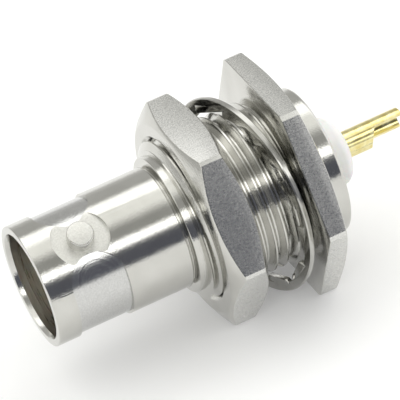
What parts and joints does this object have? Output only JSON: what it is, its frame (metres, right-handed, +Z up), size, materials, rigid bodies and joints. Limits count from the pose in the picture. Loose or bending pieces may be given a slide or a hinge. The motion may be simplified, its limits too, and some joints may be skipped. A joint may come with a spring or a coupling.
{
  "type": "bulkhead coaxial bayonet jack",
  "caption": "Panel-mount coaxial jack with a bayonet barrel, hexagonal flange, loose panel nut and lock washer, domed insulator and a gold solder cup.",
  "frame": {"origin": "on the connector's axis, in the flange face that seats on the back of the panel", "axes": "+X along the axis from the barrel's mouth to the solder cup, +Z up through a flat of the hexagonal flange, so two flange flats are level; the lugs lie at 120 and 300 degrees from +Y towards +Z"},
  "size_m": [0.0312, 0.0194, 0.0168],
  "materials": {
    "nickel_plate": "satin nickel plate on turned brass, fine turning marks",
    "nickel_nut": "nickel plate on milled brass, fine grain on the flats",
    "washer_steel": "nickel-plated spring steel, smooth",
    "gold_plate": "bright gold plate on turned brass",
    "white_insulator": "smooth white fluoropolymer, slightly translucent",
    "bush_brass": "plain turned brass"
  },
  "bodies": {
    "jack": {"body_shell": "nickel_plate", "front_insulator": "white_insulator", "centre_contact": "gold_plate", "rear_insulator": "white_insulator", "retaining_bush": "bush_brass"},
    "washer": {"lock_washer": "washer_steel"},
    "nut": {"hex_nut": "nickel_nut"}
  },
  "joints": [
    {"name": "washer_slide", "type": "slide", "parent": "jack", "child": "washer", "axis": [1, 0, 0], "range_m": [-0.0037, 0.00038]},
    {"name": "nut_turn", "type": "hinge", "parent": "washer", "child": "nut", "pos_m": [0, 0, 0], "axis": [1, 0, 0], "range_deg": [-1468.4, 150.9]}
  ],
  "couplings": [
    {"joint": "nut_turn", "follows": "washer_slide", "rad_per_m": 6926.4}
  ]
}
